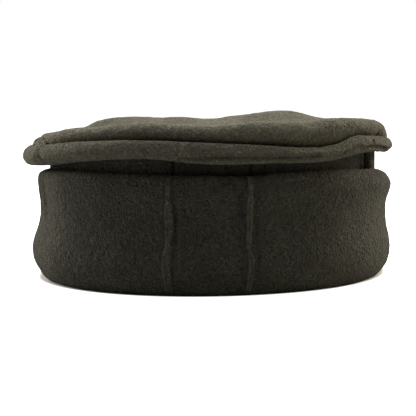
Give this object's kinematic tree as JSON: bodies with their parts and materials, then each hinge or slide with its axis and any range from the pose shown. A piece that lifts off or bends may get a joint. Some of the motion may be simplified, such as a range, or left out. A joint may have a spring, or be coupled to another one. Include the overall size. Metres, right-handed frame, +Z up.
{
  "type": "pakol hat",
  "caption": "Soft round fleece pakol hat with a dented flat crown, a fat folded rim, a recessed side wall and a tall turned-up cuff with two raised front seams.",
  "frame": {"origin": "on the surface the hat rests on, under the middle of its bounding box", "axes": "+Z up, -Y the front with the two cuff seams, +X to the right as seen from the front"},
  "size_m": [0.215, 0.2214, 0.094],
  "materials": {
    "crown_cloth": "dark olive-grey napped fleece",
    "rim_cloth": "dark olive-grey napped fleece",
    "wall_cloth": "dark olive-grey napped fleece",
    "cuff_cloth": "dark olive-grey heathered fleece, wrong side out",
    "seam_cloth": "frayed fleece seam edge"
  },
  "bodies": {
    "root": {"crown_top": "crown_cloth", "crown_rim": "rim_cloth", "side_wall": "wall_cloth", "cuff": "cuff_cloth", "cuff_seam_left": "seam_cloth", "cuff_seam_right": "seam_cloth", "wall_seam_left": "seam_cloth", "wall_seam_right": "seam_cloth"}
  },
  "joints": []
}
